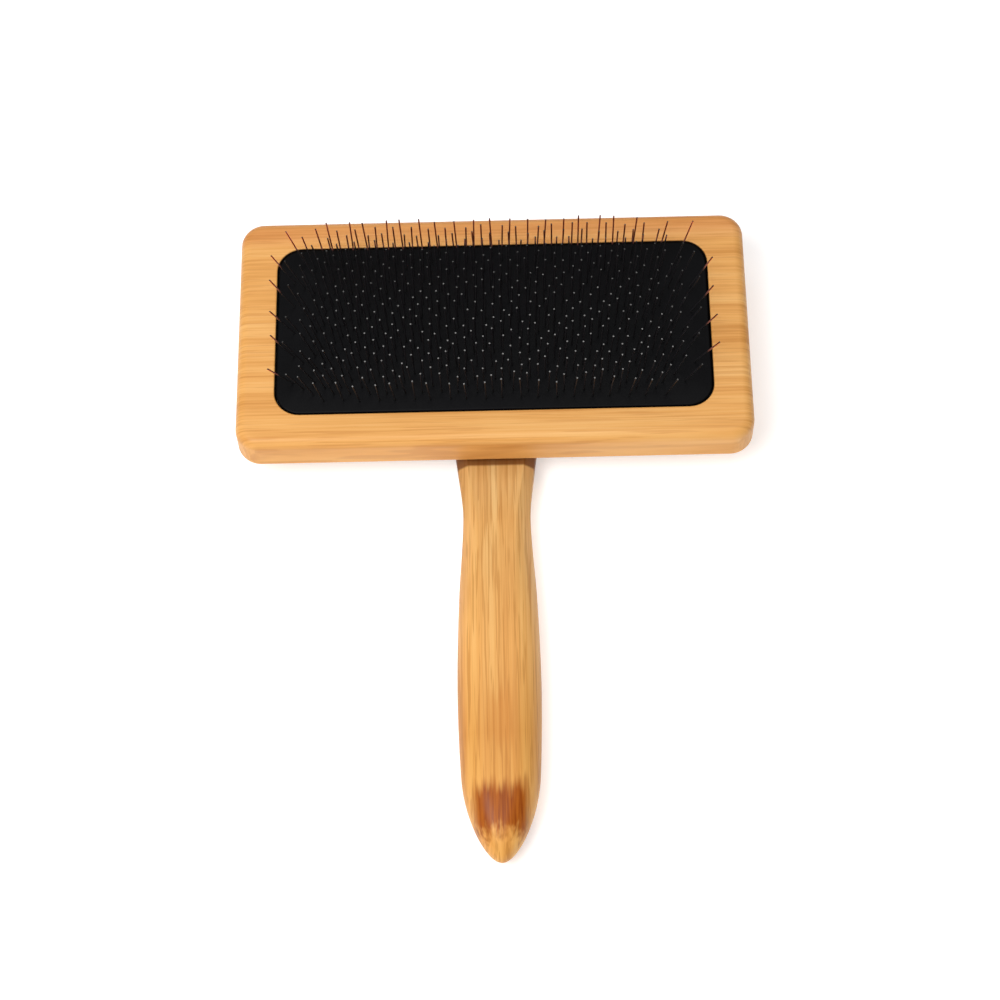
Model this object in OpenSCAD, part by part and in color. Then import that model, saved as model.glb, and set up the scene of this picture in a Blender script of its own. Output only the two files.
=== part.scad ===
// Slicker brush: a bamboo head with a cushioned pad of fine wire pins, on a bamboo handle.
// It lies on its back. X runs along the head, +Y from the handle's tip to the head, and the
// pins point up along +Z. The origin is the middle of the bounding box's underside.

/* [Head] */
// Length of the head, across the handle
head_w = 120; // [110:1:140]
// Depth of the head, in line with the handle
head_d = 61; // [58:1:72]
// Thickness of the head board
head_t = 11; // [11:0.5:16]
// Radius of the head's corners, seen from the front
head_corner_r = 5.5; // [4.5:0.5:9]
// Radius that rounds the head's front and back edges
head_edge_r = 2.6; // [1:0.1:3.8]

/* [Pad] */
// Wood left beside the pad at each end of the head
end_margin = 9; // [7:0.5:12]
// Wood left between the pad and each long edge of the head
side_margin = 8; // [6:0.5:9]
// Radius of the pocket's corners
pocket_corner_r = 6; // [4:0.5:8]
// Thickness of the wood under the pocket
pocket_floor_t = 4; // [3.5:0.1:5]
// Gap between the moving pad and the pocket's walls
pad_gap = 0.35; // [0.3:0.05:0.5]
// How far the pad sinks into the foam when it is pressed hard
press_travel = 1.5; // [0.5:0.1:1.8]

/* [Wire staples] */
// Diameter of the pin wire
wire_d = 0.36; // [0.3:0.02:0.5]
// Length of a staple's leg from its crown, behind the cloth, to its point
leg_len = 15; // [12:0.1:18]
// Distance between the two legs of a staple
staple_span = 4.5; // [4:0.1:6]
// Distance from one staple to the next in a row
staple_pitch = 8.2; // [7.6:0.1:12]
// Number of rows of staples
pin_rows = 24; // [16:2:24]
// Distance between rows
row_pitch = 1.64; // [1.6:0.01:1.8]
// Outward lean of the outermost pins towards the head's ends, in degrees
end_splay = 31; // [5:1:34]
// Outward lean of the first and last row, in degrees
side_splay = 11; // [0:0.5:13]

/* [Handle] */
// Length of the handle that shows beyond the head
handle_reach = 96.5; // [90:0.5:110]
// Length of the tongue that is glued behind the head
handle_lap = 44; // [40:1:46]
// Thickness of the tongue
tongue_t = 9; // [8.5:0.1:11]
// Width of the grip at its widest
grip_w = 18.9; // [18:0.1:22]
// Thickness of the grip at its thickest
grip_t = 13.4; // [12:0.1:16]

/* [Hidden] */
$fn = 64;
row_names = [for (row = [1:pin_rows]) str("pin_row_", row < 10 ? "0" : "", row)];

bamboo = [0.85, 0.62, 0.33];
handle_bamboo = [0.80, 0.56, 0.28];
rubber_black = [0.07, 0.07, 0.08];
cloth_grey = [0.45, 0.44, 0.42];
foam_yellow = [0.86, 0.80, 0.62];
wire_steel = [0.62, 0.62, 0.64];
screw_zinc = [0.72, 0.72, 0.70];
overcut = 1;

// Places along the brush
total_len = head_d + handle_reach;
tip_y = -total_len / 2;
head_y = total_len / 2 - head_d / 2;
handle_len = handle_reach + handle_lap;

// Levels from the rest face up
head_back_z = tongue_t;
head_front_z = head_back_z + head_t;
pocket_floor_z = head_back_z + pocket_floor_t;
foam_per_travel = 2.6;
foam_t = foam_per_travel * press_travel;
crown_clear = 0.3;
crown_r = 0.3;
crown_z = pocket_floor_z + foam_t + crown_clear + crown_r;
cloth_z = crown_z + crown_r;
cloth_t = 1;
rubber_z = cloth_z + cloth_t;
rubber_rim_sink = 0.5;
rubber_crown_rise = 0.8;
rubber_rim_z = head_front_z - rubber_rim_sink;
rubber_crown_z = head_front_z + rubber_crown_rise;
rubber_slope_w = 5;

pocket_w = head_w - 2 * end_margin;
pocket_d = head_d - 2 * side_margin;
pad_w = pocket_w - 2 * pad_gap;
pad_d = pocket_d - 2 * pad_gap;
pad_corner_r = pocket_corner_r - pad_gap;

// Where the legs of the staples may stand
leg_inset = 3.9;
field_x = pad_w / 2 - leg_inset;
field_y = (pin_rows - 1) / 2 * row_pitch;
field_corner_r = 9;
field_corner_ease = 0.4;
row_stagger = 4;
half_row_count = ceil(field_x / staple_pitch) + 1;

// How the legs lean. The wobble's turns per millimetre are uneven, so that it doesn't repeat
dome_splay = 4;
edge_power = 9;
wobble_deg = 2;
wobble_turns = [137.5, 71];
swirl_deg = 40;
swirl_turns = [59, -23];
second_wobble = 31;

// Screws through the pocket's floor into the tongue
screw_d = 3.5;
screw_head_d = 7;
screw_head_t = 2.2;
screw_len = 11;
screw_point_t = 2;
screw_point_r = 0.4;
screw_clear = 0.2;
screw_ys = [-10, 4];
slot_len = 4.2;
slot_w = 0.9;
slot_t = 1;

// Width and front face of the handle at distances from its tip
handle_widths = [
    [0, 14.6], [16, grip_w - 1.6], [39, grip_w], [62, grip_w - 1], [84, 15.6],
    [handle_reach + 0.5, 18.1], [handle_reach + 20, 23], [handle_len, 24]
];
handle_fronts = [
    [0, grip_t - 1.6], [20, grip_t - 0.4], [44, grip_t], [72, tongue_t + 2.2], [90, tongue_t],
    [handle_len, tongue_t]
];
handle_rounds = [
    [0, 0.96], [60, 0.94], [80, 0.7], [handle_reach, 0.56], [handle_len, 0.5]
];
tip_len = 20;
tip_power = 0.55;
tip_thin_len = 15;
tip_thin_power = 0.5;
tongue_end_r = 11.5;
tongue_end_share = 0.998;

// Sections along the handle, and steps round each corner of a section
first_station = 0.02;
tip_rings = 9;
tip_bunching = 1.8;
grip_rings = 19;
end_rings = 8;
section_steps = 6;

// ---- Smooth curve through a table of [position, value] pairs ----

function slope_at(table, i) =
    let (a = max(i - 1, 0), b = min(i + 1, len(table) - 1))
    (table[b][1] - table[a][1]) / (table[b][0] - table[a][0]);

function segment_of(table, s, i = 0) =
    i >= len(table) - 2 || s <= table[i + 1][0] ? i : segment_of(table, s, i + 1);

function hermite(v0, v1, m0, m1, u) =
    v0 * (2 * pow(u, 3) - 3 * pow(u, 2) + 1) + m0 * (pow(u, 3) - 2 * pow(u, 2) + u)
    + v1 * (3 * pow(u, 2) - 2 * pow(u, 3)) + m1 * (pow(u, 3) - pow(u, 2));

function smooth_lookup(table, s) =
    let (i = segment_of(table, s), span = table[i + 1][0] - table[i][0], u = (s - table[i][0]) / span)
    hermite(table[i][1], table[i + 1][1], slope_at(table, i) * span, slope_at(table, i + 1) * span, u);

// ---- Handle: rounded-rectangle sections swept from the tip to the end of the tongue ----

// 0 at the very tip, 1 once the end rounding of length run is over
function tip_ease(s, run, power) = s >= run ? 1 : pow(1 - pow(1 - s / run, 2), power);

// 1 along the tongue, falling on a quarter circle to 0 at its end
function tongue_ease(s) =
    let (over = max(s - (handle_len - tongue_end_r), 0) / tongue_end_r) sqrt(max(1 - over * over, 0));

function half_width(s) =
    smooth_lookup(handle_widths, s) / 2 * tip_ease(s, tip_len, tip_power) * tongue_ease(s);

function section_at(s) =
    let (
        front = smooth_lookup(handle_fronts, s),
        middle = front / 2,
        half_t = middle * tip_ease(s, tip_thin_len, tip_thin_power),
        half_w = half_width(s),
        r = min(half_t, half_w) * smooth_lookup(handle_rounds, s)
    )
    [
        for (corner = [[1, 1, 0], [-1, 1, 90], [-1, -1, 180], [1, -1, 270]])
            for (step = [0:section_steps])
                let (angle = corner[2] + 90 * step / section_steps)
                [
                    corner[0] * (half_w - r) + r * cos(angle),
                    tip_y + s,
                    middle + corner[1] * (half_t - r) + r * sin(angle)
                ]
    ];

// Stations bunch up at the two rounded ends
function handle_stations() = concat(
    [first_station],
    [for (step = [1:tip_rings]) tip_len * pow(step / tip_rings, tip_bunching)],
    [for (step = [1:grip_rings]) tip_len + (handle_len - tongue_end_r - tip_len) * step / grip_rings],
    [
        for (step = [1:end_rings])
            handle_len - tongue_end_r * (1 - tongue_end_share * sin(90 * step / end_rings))
    ]
);

function ring_faces(rings, count) = [
    for (ring = [0:rings - 2])
        for (k = [0:count - 1])
            let (a = ring * count + k, b = ring * count + (k + 1) % count)
            each [[a, a + count, b], [b, a + count, b + count]]
];

module swept_handle() {
    stations = handle_stations();
    count = 4 * (section_steps + 1);
    rings = len(stations);
    points = [for (s = stations) each section_at(s)];
    first_cap = [[for (k = [0:count - 1]) k]];
    last_cap = [[for (k = [count - 1:-1:0]) (rings - 1) * count + k]];
    polyhedron(points, concat(ring_faces(rings, count), first_cap, last_cap));
}

// ---- Head ----

module rounded_plate(w, d, r, t) {
    linear_extrude(t) {
        union() {
            square([w - 2 * r, d], center = true);
            square([w, d - 2 * r], center = true);
            for (x = [-1, 1]) {
                for (y = [-1, 1]) {
                    translate([x * (w / 2 - r), y * (d / 2 - r)]) circle(r);
                }
            }
        }
    }
}

module corner_post() {
    inner_r = head_corner_r - head_edge_r;
    rotate_extrude($fn = 40) {
        square([inner_r, head_t]);
        translate([0, head_edge_r]) square([head_corner_r, head_t - 2 * head_edge_r]);
        for (z = [head_edge_r, head_t - head_edge_r]) {
            intersection() {
                translate([inner_r, z]) circle(head_edge_r, $fn = 32);
                square([head_corner_r, head_t]);
            }
        }
    }
}

module head_blank() {
    hull() {
        for (x = [-1, 1]) {
            for (y = [-1, 1]) {
                translate([x * (head_w / 2 - head_corner_r), y * (head_d / 2 - head_corner_r), 0])
                    corner_post();
            }
        }
    }
}

module at_screws() {
    for (y = screw_ys) {
        translate([0, head_y + y, pocket_floor_z]) children();
    }
}

module head_block() {
    color(bamboo)
        difference() {
            translate([0, head_y, head_back_z]) head_blank();
            translate([0, head_y, pocket_floor_z])
                rounded_plate(pocket_w, pocket_d, pocket_corner_r, head_t);
            at_screws() {
                translate([0, 0, -pocket_floor_t - overcut])
                    cylinder(r = screw_d / 2 + screw_clear, h = pocket_floor_t + 2 * overcut);
                translate([0, 0, -screw_head_t])
                    cylinder(
                        r1 = screw_d / 2 + screw_clear, r2 = screw_head_d / 2 + screw_clear,
                        h = screw_head_t
                    );
            }
        }
}

module handle() {
    color(handle_bamboo)
        difference() {
            swept_handle();
            at_screws() {
                translate([0, 0, -screw_len]) cylinder(r = screw_d / 2, h = screw_len);
            }
        }
}

module wood_screw() {
    difference() {
        union() {
            translate([0, 0, -screw_head_t])
                cylinder(r1 = screw_d / 2, r2 = screw_head_d / 2, h = screw_head_t);
            translate([0, 0, screw_point_t - screw_len])
                cylinder(r = screw_d / 2, h = screw_len - screw_point_t - screw_head_t);
            translate([0, 0, -screw_len])
                cylinder(r1 = screw_point_r, r2 = screw_d / 2, h = screw_point_t);
        }
        for (turn = [0, 90]) {
            rotate(turn)
                translate([0, 0, -slot_t / 2 + overcut / 2])
                    cube([slot_len, slot_w, slot_t + overcut], center = true);
        }
    }
}

module handle_screws() {
    color(screw_zinc)
        at_screws() {
            wood_screw();
        }
}

// ---- Pad ----

module foam_cushion() {
    color(foam_yellow)
        translate([0, head_y, pocket_floor_z])
            rounded_plate(pad_w, pad_d, pad_corner_r, foam_t);
}

module backing_cloth() {
    color(cloth_grey)
        translate([0, head_y, cloth_z])
            rounded_plate(pad_w, pad_d, pad_corner_r, cloth_t);
}

// A low pillow: full size up to its rim, then sloping in to a flat crown
module rubber_face() {
    color(rubber_black)
        translate([0, head_y, rubber_z])
            hull() {
                rounded_plate(pad_w, pad_d, pad_corner_r, rubber_rim_z - rubber_z, $fn = 32);
                rounded_plate(
                    pad_w - 2 * rubber_slope_w, pad_d - 2 * rubber_slope_w, pad_corner_r,
                    rubber_crown_z - rubber_z, $fn = 32
                );
            }
}

// ---- Wire staples ----

// A repeatable small unevenness, the way hand-set wires stand
function wobble(spot) = wobble_deg * sin(wobble_turns * spot + swirl_deg * sin(swirl_turns * spot));

function row_y(row) = (row - (pin_rows - 1) / 2) * row_pitch;

// How far out along X a leg may stand in a row, with the pad's corners rounded
function row_reach(y) =
    let (past = max(abs(y) - (field_y + field_corner_ease - field_corner_r), 0))
    field_x - field_corner_r + sqrt(max(pow(field_corner_r, 2) - past * past, 0));

// The pad bulges a little all over, and curls down sharply at its two ends
function lean_x(x, y) =
    let (u = x / field_x)
    dome_splay * u + (end_splay - dome_splay) * pow(u, edge_power) + wobble([x, y]);

function lean_y(x, y) = side_splay * y / field_y + wobble([y, x + second_wobble]);

module staple_leg(x, y) {
    translate([x, y, crown_z])
        rotate([-lean_y(x, y), lean_x(x, y), 0]) cylinder(r = wire_d / 2, h = leg_len);
}

// The crown is a little thicker than the legs, because it is pressed flat behind the cloth
module staple(x, y) {
    staple_leg(x - staple_span / 2, y);
    staple_leg(x + staple_span / 2, y);
    translate([x - staple_span / 2 - crown_r, y, crown_z])
        rotate([0, 90, 0]) cylinder(r = crown_r, h = staple_span + 2 * crown_r);
}

module pin_row(row) {
    y = row_y(row);
    shift = staple_pitch * ((row % row_stagger) / row_stagger);
    color(wire_steel)
        translate([0, head_y, 0])
            for (k = [-half_row_count:half_row_count]) {
                x = k * staple_pitch - shift + staple_pitch / 2;
                if (abs(x) + staple_span / 2 <= row_reach(y)) {
                    staple(x, y);
                }
            }
}

head_block();
handle();
handle_screws();
foam_cushion();
backing_cloth();
rubber_face();
for (row = [0:pin_rows - 1]) {
    pin_row(row);
}
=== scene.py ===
"""Looks for the bamboo slicker brush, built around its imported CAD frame. Every length is in metres."""
import math

import bpy
from mathutils import Matrix, Vector


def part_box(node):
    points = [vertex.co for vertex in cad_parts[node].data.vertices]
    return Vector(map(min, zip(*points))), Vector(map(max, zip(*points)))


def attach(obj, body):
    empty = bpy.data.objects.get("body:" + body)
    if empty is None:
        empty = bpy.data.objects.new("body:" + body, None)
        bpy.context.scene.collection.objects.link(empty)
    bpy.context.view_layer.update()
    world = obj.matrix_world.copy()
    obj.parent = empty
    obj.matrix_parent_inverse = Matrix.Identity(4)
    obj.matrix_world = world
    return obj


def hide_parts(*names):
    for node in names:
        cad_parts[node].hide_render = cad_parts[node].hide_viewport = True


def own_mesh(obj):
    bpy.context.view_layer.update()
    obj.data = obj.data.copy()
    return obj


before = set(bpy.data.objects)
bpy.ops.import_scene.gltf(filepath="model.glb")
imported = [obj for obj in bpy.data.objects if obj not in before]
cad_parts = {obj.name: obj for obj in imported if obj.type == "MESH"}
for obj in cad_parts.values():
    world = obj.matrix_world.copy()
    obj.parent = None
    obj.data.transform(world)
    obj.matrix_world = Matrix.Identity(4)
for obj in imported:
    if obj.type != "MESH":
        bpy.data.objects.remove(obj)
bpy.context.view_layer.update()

MM = 0.001
X, Y, Z = 0, 1, 2

# ---- Places that come from the frame ----

head_low, head_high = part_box("head_block")
handle_low, handle_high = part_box("handle")
rubber_low, rubber_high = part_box("rubber_face")
foam_low, foam_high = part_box("foam_cushion")
cloth_low, cloth_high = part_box("backing_cloth")
pin_rows = sorted(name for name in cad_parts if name.startswith("pin_row_"))

head_centre = (head_low + head_high) / 2
head_half = (head_high - head_low) / 2
pad_half = (rubber_high - rubber_low) / 2
front_z = head_high.z
back_z = head_low.z
pocket_floor_z = foam_low.z
tip_y = handle_low.y
handle_length = handle_high.y - handle_low.y


# ---- Camera and light ----

CAMERA_TILT = math.radians(-26.83)
CAMERA_YAW = math.radians(-0.67)
CAMERA_ROLL = math.radians(0.95)
CAMERA_DISTANCE = 0.610
CAMERA_ASIDE = -1.63 * MM
CAMERA_DOWN = 40.84 * MM
LENS = 93.6
SENSOR_WIDTH = 36
CLIP_START = 10 * MM

LIGHT_TARGET = Vector((0, 0.02, 0.015))
# Name, place, size and power
LIGHTS = (
    ("key", (-0.22, -0.20, 0.55), (0.35, 0.35), 3.1),
    ("overhead", (0.05, 0.35, 0.95), (0.8, 0.5), 2.0),
)
HORIZON_STRENGTH = 0.04
OVERHEAD_STRENGTH = 0.42


def make_camera():
    data = bpy.data.cameras.new("camera")
    data.lens = LENS
    data.sensor_width = SENSOR_WIDTH
    data.clip_start = CLIP_START
    camera = bpy.data.objects.new("camera", data)
    turn = (
        Matrix.Rotation(CAMERA_ROLL, 4, "Z")
        @ Matrix.Rotation(CAMERA_TILT, 4, "X")
        @ Matrix.Rotation(CAMERA_YAW, 4, "Y")
    )
    aim = Vector((head_centre.x, head_centre.y, front_z))
    back_off = Matrix.Translation((-CAMERA_ASIDE, -CAMERA_DOWN, CAMERA_DISTANCE))
    camera.matrix_world = Matrix.Translation(aim) @ turn.transposed() @ back_off
    bpy.context.scene.collection.objects.link(camera)
    bpy.context.scene.camera = camera


def area_light(name, place, size, power):
    data = bpy.data.lights.new(name, "AREA")
    data.shape = "RECTANGLE"
    data.size, data.size_y = size
    data.energy = power
    light = bpy.data.objects.new(name, data)
    light.location = place
    light.rotation_euler = (LIGHT_TARGET - Vector(place)).to_track_quat("-Z", "Y").to_euler()
    bpy.context.scene.collection.objects.link(light)


def make_sky():
    """A studio that is dim at the horizon and pale overhead, so that rounded edges shade off."""
    world = bpy.data.worlds.new("studio")
    world.use_nodes = True
    tree = world.node_tree
    direction = tree.nodes.new("ShaderNodeTexCoord").outputs["Generated"]
    height = tree.nodes.new("ShaderNodeSeparateXYZ")
    tree.links.new(direction, height.inputs[0])
    strength = tree.nodes.new("ShaderNodeMapRange")
    strength.inputs["To Min"].default_value = HORIZON_STRENGTH
    strength.inputs["To Max"].default_value = OVERHEAD_STRENGTH
    tree.links.new(height.outputs["Z"], strength.inputs["Value"])
    tree.links.new(strength.outputs[0], tree.nodes["Background"].inputs["Strength"])
    tree.nodes["Background"].inputs["Color"].default_value = (1, 1, 1, 1)
    bpy.context.scene.world = world


def make_lights():
    for light in LIGHTS:
        area_light(*light)
    bpy.context.scene.view_settings.view_transform = "Standard"


# ---- Shader nodes ----


class Nodes:
    """Adds shader nodes to one material. A value may be a number, a tuple or a socket."""

    def __init__(self, name):
        self.material = bpy.data.materials.new(name)
        self.material.use_nodes = True
        self.tree = self.material.node_tree
        self.shader = self.tree.nodes["Principled BSDF"]
        self.place = self.add("ShaderNodeTexCoord").outputs["Object"]

    def add(self, kind, **settings):
        node = self.tree.nodes.new(kind)
        for key, value in settings.items():
            setattr(node, key, value)
        return node

    def feed(self, socket, value):
        if isinstance(value, bpy.types.NodeSocket):
            self.tree.links.new(value, socket)
        elif isinstance(value, tuple) and len(value) == 3 and len(socket.default_value) == 4:
            socket.default_value = (*value, 1)
        else:
            socket.default_value = value

    def axis(self, index, vector=None):
        """One coordinate of a vector, or of the place on the brush."""
        node = self.add("ShaderNodeSeparateXYZ")
        self.feed(node.inputs[0], vector or self.place)
        return node.outputs[index]

    def math(self, operation, *values):
        node = self.add("ShaderNodeMath", operation=operation)
        for socket, value in zip(node.inputs, values):
            self.feed(socket, value)
        return node.outputs[0]

    def distance(self, index, centre):
        return self.math("ABSOLUTE", self.math("SUBTRACT", self.axis(index), centre))

    def noise(self, stretch, detail=2, roughness=0.5, shift=(0, 0, 0)):
        mapping = self.add("ShaderNodeMapping")
        self.feed(mapping.inputs["Vector"], self.place)
        self.feed(mapping.inputs["Scale"], stretch)
        self.feed(mapping.inputs["Location"], shift)
        node = self.add("ShaderNodeTexNoise")
        self.feed(node.inputs["Vector"], mapping.outputs[0])
        self.feed(node.inputs["Scale"], 1)
        self.feed(node.inputs["Detail"], detail)
        self.feed(node.inputs["Roughness"], roughness)
        return node.outputs["Fac"]

    def rise(self, value, start, end, low=0.0, high=1.0):
        """low below start, high above end, and a smooth step between."""
        node = self.add("ShaderNodeMapRange", interpolation_type="SMOOTHSTEP")
        for socket, setting in zip(node.inputs, (value, start, end, low, high)):
            self.feed(socket, setting)
        return node.outputs[0]

    def ramp(self, factor, *stops):
        node = self.add("ShaderNodeValToRGB")
        elements = node.color_ramp.elements
        while len(elements) < len(stops):
            elements.new(0.5)
        for element, (position, colour) in zip(elements, stops):
            element.position = position
            element.color = (*colour, 1)
        self.feed(node.inputs[0], factor)
        return node.outputs[0]

    def mix(self, factor, first, second, blend="MIX"):
        node = self.add("ShaderNodeMix", data_type="RGBA", blend_type=blend)
        colours = [socket for socket in node.inputs if socket.type == "RGBA"]
        self.feed(node.inputs[0], factor)
        self.feed(colours[0], first)
        self.feed(colours[1], second)
        return [socket for socket in node.outputs if socket.type == "RGBA"][0]

    def bump(self, height, strength, distance):
        node = self.add("ShaderNodeBump")
        self.feed(node.inputs["Height"], height)
        self.feed(node.inputs["Strength"], strength)
        self.feed(node.inputs["Distance"], distance)
        self.feed(self.shader.inputs["Normal"], node.outputs[0])

    def finish(self, colour, roughness, **settings):
        self.feed(self.shader.inputs["Base Color"], colour)
        self.feed(self.shader.inputs["Roughness"], roughness)
        for key, value in settings.items():
            self.feed(self.shader.inputs[key.replace("_", " ")], value)
        return self.material


# ---- Bamboo ----

GRAIN_DEPTH = 0.15

HEAD_BOARD = {
    "pale": (0.86, 0.48, 0.165),
    "mid": (0.79, 0.39, 0.11),
    "deep": (0.63, 0.27, 0.06),
    "streak": (0.55, 0.22, 0.05),
    "streak_share": 0.35,
}
HANDLE_BOARD = {
    "pale": (0.86, 0.49, 0.18),
    "mid": (0.78, 0.39, 0.12),
    "deep": (0.62, 0.27, 0.07),
    "streak": (0.50, 0.20, 0.04),
    "streak_share": 0.5,
}
# Painted shade of the pins, multiplied over the far strip of the head's front
FAR_EDGE_PAINTED_PIN_SHADE = (0.93, 0.83, 0.86)
# Black on the pocket's walls: partly contact glue, partly painted shade in the narrow gap round the pad
GLUE_AND_GAP_SHADE_BLACK = (0.012, 0.009, 0.008)
GLUE_AND_SHADE_WALL_REACH = 0.3 * MM
GLUE_AND_SHADE_TOP = 0.05 * MM
GLUE_AND_SHADE_FADE = 0.35 * MM

# Tints at shares of the way from the tip to the head. The duller, pinker tints near the head are partly
# painted shade and reflection.
HANDLE_TONE_AND_PAINTED_SHADE_TINTS = (
    (0.0, (1.0, 0.95, 0.72)),
    (0.2, (0.84, 0.72, 0.48)),
    (0.5, (1.0, 0.98, 0.86)),
    (0.93, (0.95, 1.0, 1.0)),
    (1.0, (0.82, 0.92, 1.0)),
)
CARAMEL = ((0.40, (0.28, 0.056, 0.001)), (0.60, (0.42, 0.105, 0.005)))
FAINT_CARAMEL = (0.60, 0.22, 0.035)
FAINT_SHARE = 0.4
# Painted shadow under the head's lower edge, where the head overhangs the handle
JOINT_PAINTED_SHADE = (0.13, 0.030, 0.0)
JOINT_PAINTED_SHADE_SHARE = 0.85


def grain_stretch(along, along_scale, across_scale):
    """Noise scales for grain: drawn out along one axis, and deep through the board's thickness."""
    stretch = [across_scale, across_scale, GRAIN_DEPTH * across_scale]
    stretch[along] = along_scale
    return tuple(stretch)


def bamboo_colour(nodes, along, pale, mid, deep, streak, streak_share):
    """Wide bands of colour, then pale strands, long thin lines and dark streaks, all along one axis."""
    bands = nodes.noise(grain_stretch(along, 7, 260), shift=(3.1, 1.7, 0.4))
    fibres = nodes.noise(grain_stretch(along, 30, 1900), detail=3, roughness=0.6)
    blotches = nodes.noise(grain_stretch(along, 30, 90), shift=(7.0, 2.0, 5.0))
    tone = nodes.math("MULTIPLY_ADD", fibres, 0.5, nodes.math("MULTIPLY", bands, 0.75))
    tone = nodes.math("MULTIPLY_ADD", blotches, 0.25, tone)
    colour = nodes.ramp(tone, (0.53, pale), (0.75, mid), (0.98, deep))
    swell = nodes.noise(grain_stretch(along, 6, 420), detail=1, shift=(2.0, 9.0, 6.0))
    from_contour = nodes.math("ABSOLUTE", nodes.math("SUBTRACT", swell, 0.5))
    lines = nodes.rise(from_contour, 0.0, 0.035, low=0.4, high=0.0)
    colour = nodes.mix(lines, colour, deep)
    bundles = nodes.noise(grain_stretch(along, 42, 1700), roughness=0.55, shift=(11.0, 4.0, 9.0))
    colour = nodes.mix(nodes.rise(bundles, 0.53, 0.62, high=streak_share), colour, streak)
    return colour, fibres, bundles


def finish_bamboo(nodes, colour, fibres, bundles):
    relief = nodes.math("MULTIPLY_ADD", fibres, 0.6, nodes.math("MULTIPLY", bundles, -0.4))
    nodes.bump(relief, 0.35, 0.05 * MM)
    roughness = nodes.rise(fibres, 0.3, 0.7, low=0.40, high=0.52)
    lacquer = {"Coat_Weight": 0.05, "Coat_Roughness": 0.3, "Specular_IOR_Level": 0.22}
    return nodes.finish(colour, roughness, **lacquer)


def head_bamboo():
    """The head's board, darkened and reddened along its far edge as painted shade of the pins, with
    pocket walls blackened partly by glue and partly as painted shade in the gap round the pad.
    """
    nodes = Nodes("head_bamboo")
    colour, fibres, bundles = bamboo_colour(nodes, X, **HEAD_BOARD)
    pocket_edge = head_centre.y + pocket_half_d
    # Painted pin shade: the far strip of the front is darkened and reddened
    far_edge_painted_shade = nodes.rise(nodes.axis(Y), pocket_edge - 1 * MM, head_high.y - 4 * MM)
    colour = nodes.mix(far_edge_painted_shade, colour, FAR_EDGE_PAINTED_PIN_SHADE, "MULTIPLY")
    # Pocket walls painted black: part glue, part painted shade of the gap
    inside_x = nodes.math("LESS_THAN", nodes.distance(X, head_centre.x), pocket_half_w + GLUE_AND_SHADE_WALL_REACH)
    inside_y = nodes.math("LESS_THAN", nodes.distance(Y, head_centre.y), pocket_half_d + GLUE_AND_SHADE_WALL_REACH)
    depth = nodes.rise(nodes.axis(Z), front_z - GLUE_AND_SHADE_FADE, front_z - GLUE_AND_SHADE_TOP, low=1.0, high=0.0)
    glue_and_gap_shade = nodes.math("MULTIPLY", nodes.math("MULTIPLY", inside_x, inside_y), depth)
    colour = nodes.mix(glue_and_gap_shade, colour, GLUE_AND_GAP_SHADE_BLACK)
    return finish_bamboo(nodes, colour, fibres, bundles)


def node_patch(nodes, centre, half_length, half_width):
    """1 inside a caramelised bamboo node, whose ends are drawn out in fingers along the grain."""
    fingers = nodes.noise((750, 45, 750), roughness=0.6, shift=(5.0, 8.0, 2.0))
    ragged = nodes.math("MULTIPLY", nodes.math("SUBTRACT", fingers, 0.5), 9 * MM)
    from_centre = nodes.math("SUBTRACT", nodes.axis(Y), centre)
    along = nodes.math("ABSOLUTE", nodes.math("ADD", from_centre, ragged))
    across = nodes.math("ABSOLUTE", nodes.axis(X))
    inside_along = nodes.rise(along, half_length - 2.5 * MM, half_length + 2 * MM, low=1.0, high=0.0)
    inside_across = nodes.rise(across, half_width - 1.5 * MM, half_width + 1 * MM, low=1.0, high=0.0)
    return nodes.math("MULTIPLY", inside_along, inside_across)


def handle_bamboo():
    """The handle's board: pinkish and duller at the neck, partly as painted shade and reflection, gold
    towards the tip, with a painted shadow along the head's edge.
    """
    nodes = Nodes("handle_bamboo")
    colour, fibres, bundles = bamboo_colour(nodes, Y, **HANDLE_BOARD)
    # Tints along the handle: tone, with painted shade and reflection towards the head
    along = nodes.rise(nodes.axis(Y), tip_y, head_low.y)
    colour = nodes.mix(1.0, colour, nodes.ramp(along, *HANDLE_TONE_AND_PAINTED_SHADE_TINTS), "MULTIPLY")
    caramel = nodes.ramp(fibres, *CARAMEL)
    dark_node = node_patch(nodes, tip_y + 10.6 * MM, 5.4 * MM, 6.1 * MM)
    colour = nodes.mix(dark_node, colour, caramel)
    faint_node = node_patch(nodes, tip_y + 31 * MM, 5.5 * MM, 2.6 * MM)
    colour = nodes.mix(nodes.math("MULTIPLY", faint_node, FAINT_SHARE), colour, FAINT_CARAMEL)
    # Painted shadow on the handle just under the head's edge
    shade_start, shade_end = head_low.y - 0.9 * MM, head_low.y - 0.2 * MM
    joint_painted_shade = nodes.rise(nodes.axis(Y), shade_start, shade_end, high=JOINT_PAINTED_SHADE_SHARE)
    colour = nodes.mix(joint_painted_shade, colour, JOINT_PAINTED_SHADE)
    return finish_bamboo(nodes, colour, fibres, bundles)


# ---- Rubber, metal and soft materials ----

RUBBER_GLOSS = 0.09
RUBBER_BLACKS = ((0.3, (0.0014, 0.0014, 0.0018)), (0.7, (0.0026, 0.0026, 0.0034)))
# The steel shafts painted near-black: painted reflection of the dim studio
WIRE_PAINTED_DARK_SHAFT = ((0.3, (0.012, 0.011, 0.012)), (0.7, (0.020, 0.018, 0.020)))
# Painted reflection of the wood on the wires that stand over it
WIRE_PAINTED_WOOD_REFLECTION = (0.90, 0.32, 0.24)
WIRE_GLOSS = 0.5
WIRE_POINT = ((0.3, (0.14, 0.137, 0.133)), (0.7, (0.20, 0.197, 0.194)))
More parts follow.
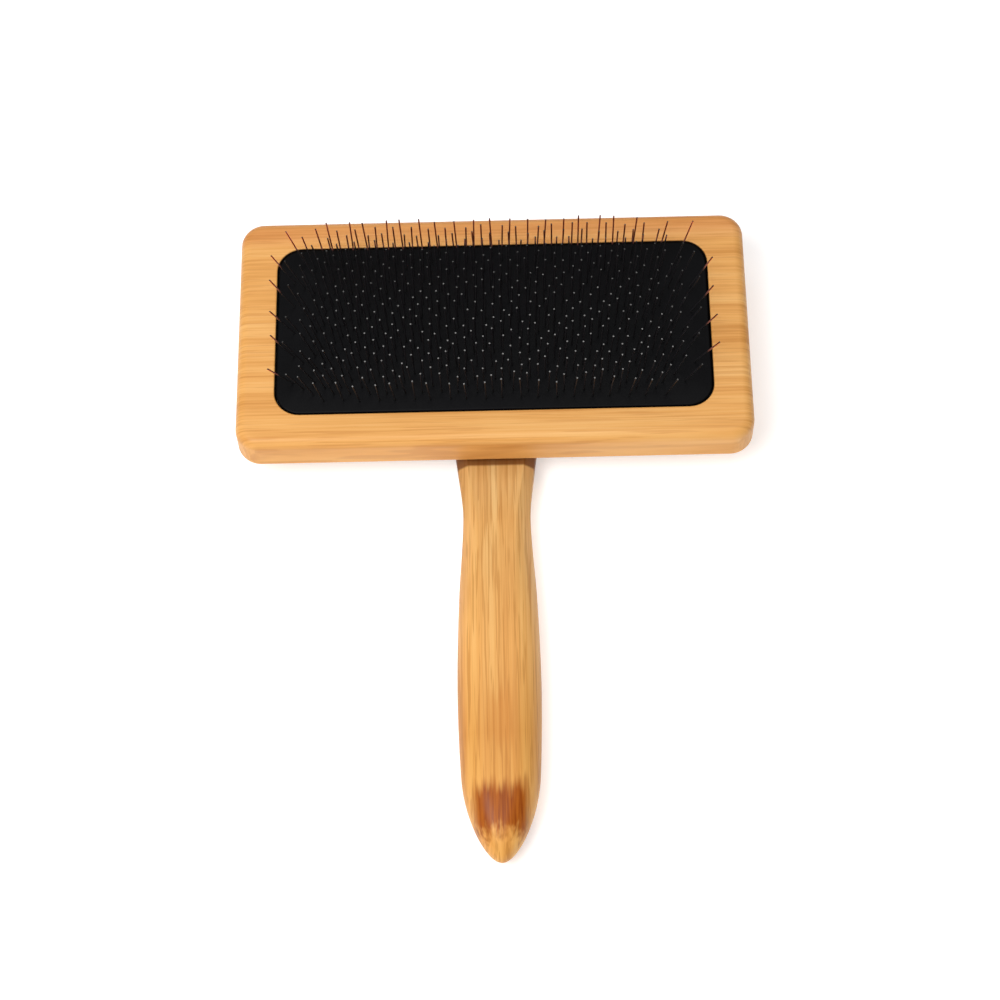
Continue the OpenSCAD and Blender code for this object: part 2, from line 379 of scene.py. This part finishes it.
# How far the part of the wires with painted wood reflection leans over the pad's far edge, for each unit
# of height
WIRE_SLANT = 0.5
ZINC = ((0.3, (0.46, 0.47, 0.47)), (0.7, (0.66, 0.66, 0.63)))
FOAM_CELLS = ((0.35, (0.42, 0.33, 0.15)), (0.6, (0.80, 0.70, 0.42)))
CLOTH_WEAVE = ((0.2, (0.16, 0.15, 0.13)), (0.8, (0.34, 0.32, 0.28)))
THREAD_PITCH = 0.7 * MM


def black_rubber():
    nodes = Nodes("black_rubber")
    cloud = nodes.noise((60, 60, 60), detail=3)
    colour = nodes.ramp(cloud, *RUBBER_BLACKS)
    grain = nodes.noise((3000, 3000, 3000))
    nodes.bump(grain, 0.15, 0.03 * MM)
    roughness = nodes.rise(cloud, 0.3, 0.7, low=0.44, high=0.54)
    return nodes.finish(colour, roughness, Specular_IOR_Level=RUBBER_GLOSS)


def pin_wire():
    """Wire painted near-black as painted reflection of the dim surroundings, brown where it stands over
    the wood as painted reflection of the wood, and bright at its ground points.
    """
    nodes = Nodes("pin_wire")
    drawn = nodes.noise((4000, 4000, 250), roughness=0.6)
    from_centre = nodes.distance(X, head_centre.x)
    past_end = nodes.rise(from_centre, pad_half.x - 1.5 * MM, pad_half.x + 0.5 * MM)
    slant = nodes.math("MULTIPLY_ADD", nodes.axis(Z), WIRE_SLANT, nodes.axis(Y))
    edge = head_centre.y + pad_half.y + WIRE_SLANT * front_z
    past_edge = nodes.rise(slant, edge - 1.0 * MM, edge + 0.5 * MM)
    painted_wood_reflection = nodes.math("MAXIMUM", past_end, past_edge)
    # Painted reflections: near-black shafts, brown over the wood
    painted_shaft_colour = nodes.mix(painted_wood_reflection, nodes.ramp(drawn, *WIRE_PAINTED_DARK_SHAFT), WIRE_PAINTED_WOOD_REFLECTION)
    normal = nodes.add("ShaderNodeNewGeometry").outputs["True Normal"]
    ground = nodes.rise(nodes.axis(Z, normal), 0.7, 0.85)
    colour = nodes.mix(ground, painted_shaft_colour, nodes.ramp(drawn, *WIRE_POINT))
    nodes.bump(drawn, 0.2, 0.01 * MM)
    bare = nodes.math("MAXIMUM", painted_wood_reflection, ground)
    gloss = nodes.rise(bare, 0, 1, low=RUBBER_GLOSS, high=WIRE_GLOSS)
    roughness = nodes.rise(drawn, 0.3, 0.7, low=0.28, high=0.40)
    return nodes.finish(colour, roughness, Metallic=bare, Specular_IOR_Level=gloss)


def zinc_screw():
    nodes = Nodes("zinc_screw")
    patina = nodes.noise((900, 900, 900), detail=4, roughness=0.6)
    nodes.bump(patina, 0.2, 0.02 * MM)
    roughness = nodes.rise(patina, 0.3, 0.7, low=0.28, high=0.45)
    return nodes.finish(nodes.ramp(patina, *ZINC), roughness, Metallic=1.0)


def foam():
    nodes = Nodes("foam")
    cells = nodes.noise((1600, 1600, 1600), detail=3, roughness=0.7)
    nodes.bump(cells, 0.8, 0.3 * MM)
    return nodes.finish(nodes.ramp(cells, *FOAM_CELLS), 0.9, Sheen_Weight=0.2)


def foundation_cloth():
    nodes = Nodes("backing_cloth")
    turns = 2 * math.pi / THREAD_PITCH
    warp = nodes.math("SINE", nodes.math("MULTIPLY", nodes.axis(X), turns))
    weft = nodes.math("SINE", nodes.math("MULTIPLY", nodes.axis(Y), turns))
    weave = nodes.math("MULTIPLY_ADD", nodes.math("MULTIPLY", warp, weft), 0.5, 0.5)
    nodes.bump(weave, 0.6, 0.12 * MM)
    return nodes.finish(nodes.ramp(weave, *CLOTH_WEAVE), 0.85, Sheen_Weight=0.15)


# ---- Mesh making ----

# Sides of the four corners of a rounded rectangle, and the angle in degrees at which each arc starts
CORNERS = ((1, 1, 0), (-1, 1, 90), (-1, -1, 180), (1, -1, 270))
CORNER_STEPS = 10
PAD_SIDE_STEPS = 12


def add_piece(name, points, faces, material, body):
    mesh = bpy.data.meshes.new(name)
    mesh.from_pydata([tuple(point) for point in points], [], faces)
    mesh.validate()
    mesh.polygons.foreach_set("use_smooth", [True] * len(mesh.polygons))
    mesh.materials.append(material)
    piece = bpy.data.objects.new(name, mesh)
    bpy.context.scene.collection.objects.link(piece)
    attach(piece, body)
    return piece


def loft(loops):
    """Quads between loops of equal length, with a flat cap on the first and the last."""
    count = len(loops[0])
    points = [point for loop in loops for point in loop]
    faces = [tuple(reversed(range(count)))]
    for ring in range(len(loops) - 1):
        for k in range(count):
            a, b = ring * count + k, ring * count + (k + 1) % count
            faces.append((a, b, b + count, a + count))
    last = (len(loops) - 1) * count
    faces.append(tuple(range(last, last + count)))
    return points, faces


def rounded_loop(centre, half_w, half_d, r, z, side_steps=1):
    """A rounded rectangle at height z, counter-clockwise, as a list of points."""

    def arc_point(side_x, side_y, degrees):
        angle = math.radians(degrees)
        return Vector((
            centre.x + side_x * (half_w - r) + r * math.cos(angle),
            centre.y + side_y * (half_d - r) + r * math.sin(angle),
            z,
        ))

    loop = []
    for index, (side_x, side_y, start) in enumerate(CORNERS):
        for step in range(CORNER_STEPS + 1):
            loop.append(arc_point(side_x, side_y, start + 90 * step / CORNER_STEPS))
        begin = loop[-1]
        end = arc_point(*CORNERS[(index + 1) % 4])
        for step in range(1, side_steps):
            loop.append(begin.lerp(end, step / side_steps))
    return loop


def weigh_normals(piece):
    piece.modifiers.new("even_shading", "WEIGHTED_NORMAL").keep_sharp = True


# ---- Head ----

HEAD_CORNER_R = 5.5 * MM
HEAD_EDGE_R = 2.6 * MM
POCKET_CORNER_R = 6 * MM
POCKET_GAP = 0.35 * MM
POCKET_RIM_R = 0.4 * MM
POCKET_LEDGE = 1 * MM
RIM_STEPS = 4
EDGE_STEPS = 10
pocket_half_w = pad_half.x + POCKET_GAP
pocket_half_d = pad_half.y + POCKET_GAP


def make_head(material):
    """A board with rounded corners and edges, made from the pocket's floor out to the back."""

    def outer(inset, z):
        half_w, half_d = head_half.x - inset, head_half.y - inset
        return rounded_loop(head_centre, half_w, half_d, HEAD_CORNER_R - inset, z)

    def pocket(outset, z):
        half_w, half_d = pocket_half_w + outset, pocket_half_d + outset
        return rounded_loop(head_centre, half_w, half_d, POCKET_CORNER_R + outset, z)

    loops = [pocket(-POCKET_LEDGE, pocket_floor_z), pocket(0, pocket_floor_z)]
    for step in range(RIM_STEPS + 1):
        angle = math.radians(90 * step / RIM_STEPS)
        rise = POCKET_RIM_R * math.sin(angle)
        loops.append(pocket(POCKET_RIM_R * (1 - math.cos(angle)), front_z - POCKET_RIM_R + rise))
    for step in range(EDGE_STEPS + 1):
        angle = math.radians(90 * step / EDGE_STEPS)
        inset = HEAD_EDGE_R * (1 - math.sin(angle))
        loops.append(outer(inset, front_z - HEAD_EDGE_R * (1 - math.cos(angle))))
    for step in range(EDGE_STEPS + 1):
        angle = math.radians(90 * step / EDGE_STEPS)
        inset = HEAD_EDGE_R * (1 - math.cos(angle))
        loops.append(outer(inset, back_z + HEAD_EDGE_R * (1 - math.sin(angle))))
    points, faces = loft(loops)
    head = add_piece("bamboo_head", points, faces, material, "brush")
    weigh_normals(head)
    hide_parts("head_block")


# ---- Handle ----

# Half width, front face height and roundness of the section, at distances from the tip. The lengths are
# in millimetres, and the roundness is a share of the half width or the half thickness.
HANDLE_WIDTHS = (
    (0, 7.3), (16, 8.65), (39, 9.45), (62, 8.95),
    (84, 7.8), (97, 9.05), (116.5, 11.5), (140.5, 12),
)
HANDLE_FRONTS = ((0, 11.8), (20, 13), (44, 13.4), (72, 11.2), (90, 9), (140.5, 9))
HANDLE_ROUNDS = ((0, 0.96), (60, 0.94), (80, 0.7), (96.5, 0.56), (140.5, 0.5))
TIP_LENGTH = 20 * MM
TIP_POWER = 0.55
TIP_THIN_LENGTH = 15 * MM
TONGUE_END_R = 11.5 * MM
BEVEL_START = 58 * MM
BEVEL_RUN = 25 * MM
BEVEL_FLATNESS = 0.85
FIRST_SECTION = 0.01 * MM
LAST_SECTION_SHARE = 0.9995
TIP_STEPS = 24
MIDDLE_STEPS = 60
END_STEPS = 16


def smooth_lookup(table, place):
    """A smooth curve through (place, value) pairs, as in the CAD part."""
    i = 0
    while i < len(table) - 2 and place > table[i + 1][0]:
        i += 1

    def slope(k):
        low, high = max(k - 1, 0), min(k + 1, len(table) - 1)
        return (table[high][1] - table[low][1]) / (table[high][0] - table[low][0])

    span = table[i + 1][0] - table[i][0]
    u = (place - table[i][0]) / span
    start, end = table[i][1], table[i + 1][1]
    return (
        start * (2 * u**3 - 3 * u**2 + 1) + slope(i) * span * (u**3 - 2 * u**2 + u)
        + end * (3 * u**2 - 2 * u**3) + slope(i + 1) * span * (u**3 - u**2)
    )


def handle_section(s):
    """One closed section, s from the tip: round corners at the grip and flat bevels at the neck."""
    front = smooth_lookup(HANDLE_FRONTS, s / MM) * MM
    half_w = smooth_lookup(HANDLE_WIDTHS, s / MM) * MM
    if s < TIP_LENGTH:
        half_w *= (1 - (1 - s / TIP_LENGTH) ** 2) ** TIP_POWER
    over = max(s - (handle_length - TONGUE_END_R), 0) / TONGUE_END_R
    half_w *= math.sqrt(max(1 - over * over, 0))
    half_t = front / 2
    if s < TIP_THIN_LENGTH:
        half_t *= math.sqrt(1 - (1 - s / TIP_THIN_LENGTH) ** 2)
    r = min(half_t, half_w) * smooth_lookup(HANDLE_ROUNDS, s / MM)
    flatness = BEVEL_FLATNESS * min(max((s - BEVEL_START) / BEVEL_RUN, 0), 1)
    loop = []
    for side_x, side_z, start in CORNERS:
        corner_start = Vector((math.cos(math.radians(start)), math.sin(math.radians(start))))
        corner_end = Vector((-corner_start.y, corner_start.x))
        for step in range(CORNER_STEPS + 1):
            angle = math.radians(start + 90 * step / CORNER_STEPS)
            on_arc = Vector((math.cos(angle), math.sin(angle)))
            on_bevel = corner_start.lerp(corner_end, step / CORNER_STEPS)
            spot = on_arc.lerp(on_bevel, flatness)
            loop.append(Vector((
                side_x * (half_w - r) + r * spot.x,
                tip_y + s,
                front / 2 + side_z * (half_t - r) + r * spot.y,
            )))
    return loop


def make_handle(material):
    """One sweep from the tip to the round end of the tongue, with its sections closest at both ends."""
    middle_end = handle_length - TONGUE_END_R
    end_reach = TONGUE_END_R * LAST_SECTION_SHARE
    places = [FIRST_SECTION]
    for step in range(1, TIP_STEPS + 1):
        places.append(TIP_LENGTH * (step / TIP_STEPS) ** 2)
    for step in range(1, MIDDLE_STEPS + 1):
        places.append(TIP_LENGTH + (middle_end - TIP_LENGTH) * step / MIDDLE_STEPS)
    for step in range(1, END_STEPS + 1):
        places.append(middle_end + end_reach * math.sin(math.radians(90 * step / END_STEPS)))
    points, faces = loft([handle_section(place) for place in places])
    faces = [tuple(reversed(face)) for face in faces]
    handle = add_piece("bamboo_handle", points, faces, material, "brush")
    weigh_normals(handle)
    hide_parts("handle")


# ---- Pad ----

PAD_CORNER_R = POCKET_CORNER_R - POCKET_GAP
RUBBER_EDGE_R = 0.4 * MM
RUBBER_EDGE_STEPS = 5
RUBBER_RIM_SINK = 0.15 * MM
CROWN_STEPS = 24
CROWN_SHARE = 0.9
CROWN_LEAST_R = 0.3 * MM
SLAB_STEPS = 12
SPONGE_EDGE_R = 0.5 * MM
SPONGE_BULGE = 0.25 * MM
CLOTH_EDGE_R = 0.15 * MM


def make_rubber(material):
    """A low pillow: steep where it leaves the pocket's wall and nearly flat over most of its width."""
    centre = (rubber_low + rubber_high) / 2
    rim_z = front_z - RUBBER_RIM_SINK
    crown = rubber_high.z - rim_z

    def ring(inset, z):
        half_w, half_d = pad_half.x - inset, pad_half.y - inset
        r = max(PAD_CORNER_R - inset, CROWN_LEAST_R)
        return rounded_loop(centre, half_w, half_d, r, z, PAD_SIDE_STEPS)

    loops = [ring(0, rubber_low.z)]
    for step in range(RUBBER_EDGE_STEPS + 1):
        angle = math.radians(90 * step / RUBBER_EDGE_STEPS)
        inset = RUBBER_EDGE_R * (1 - math.cos(angle))
        loops.append(ring(inset, rim_z - RUBBER_EDGE_R * (1 - math.sin(angle))))
    reach = pad_half.y - RUBBER_EDGE_R
    for step in range(1, CROWN_STEPS + 1):
        share = CROWN_SHARE * step / CROWN_STEPS
        loops.append(ring(RUBBER_EDGE_R + reach * share, rim_z + crown * (1 - (1 - share) ** 3)))
    points, faces = loft(loops)
    rubber = add_piece("rubber_pad_face", points, faces, material, "pin_pad")
    weigh_normals(rubber)
    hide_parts("rubber_face")


def make_slab(name, low, high, edge_r, bulge, material, body, node):
    """A soft slab that fills a node's box: rounded edges, and sides that swell a little."""
    centre, half = (low + high) / 2, (high - low) / 2
    loops = []
    for step in range(SLAB_STEPS + 1):
        height = step / SLAB_STEPS
        from_edge = min(height, 1 - height) * (high.z - low.z)
        tuck = max(edge_r - from_edge, 0)
        inset = edge_r - math.sqrt(max(edge_r**2 - tuck**2, 0)) + bulge * (2 * height - 1) ** 2
        z = low.z + height * 2 * half.z
        half_w, half_d = half.x - inset, half.y - inset
        loops.append(rounded_loop(centre, half_w, half_d, PAD_CORNER_R, z, PAD_SIDE_STEPS))
    points, faces = loft(loops)
    slab = add_piece(name, points, faces, material, body)
    weigh_normals(slab)
    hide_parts(node)
    return slab


def make_soft_layers():
    sponge = make_slab(
        "sponge_layer", foam_low, foam_high, SPONGE_EDGE_R, SPONGE_BULGE,
        foam(), "brush", "foam_cushion",
    )
    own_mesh(sponge)
    make_slab(
        "foundation_cloth", cloth_low, cloth_high, CLOTH_EDGE_R, 0,
        foundation_cloth(), "pin_pad", "backing_cloth",
    )


def dress_cad_nodes():
    wire = pin_wire()
    for name in pin_rows:
        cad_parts[name].data.materials.clear()
        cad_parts[name].data.materials.append(wire)
    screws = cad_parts["handle_screws"].data.materials
    screws.clear()
    screws.append(zinc_screw())


# ---- Floor ----

FLOOR_REACH = 3
FLOOR_GLOW = 0.5
FLOOR_PALES = ((0.3, (0.80, 0.80, 0.80)), (0.7, (0.83, 0.83, 0.83)))


def make_floor():
    nodes = Nodes("floor")
    colour = nodes.ramp(nodes.noise((3, 3, 3)), *FLOOR_PALES)
    material = nodes.finish(colour, 0.7, Emission_Color=(1, 1, 1, 1), Emission_Strength=FLOOR_GLOW)
    mesh = bpy.data.meshes.new("floor")
    sides = ((-1, -1), (1, -1), (1, 1), (-1, 1))
    corners = [(side_x * FLOOR_REACH, side_y * FLOOR_REACH, 0) for side_x, side_y in sides]
    mesh.from_pydata(corners, [], [(0, 1, 2, 3)])
    mesh.materials.append(material)
    floor = bpy.data.objects.new("floor", mesh)
    bpy.context.scene.collection.objects.link(floor)


make_camera()
make_sky()
make_lights()
make_head(head_bamboo())
make_handle(handle_bamboo())
make_rubber(black_rubber())
make_soft_layers()
dress_cad_nodes()
make_floor()
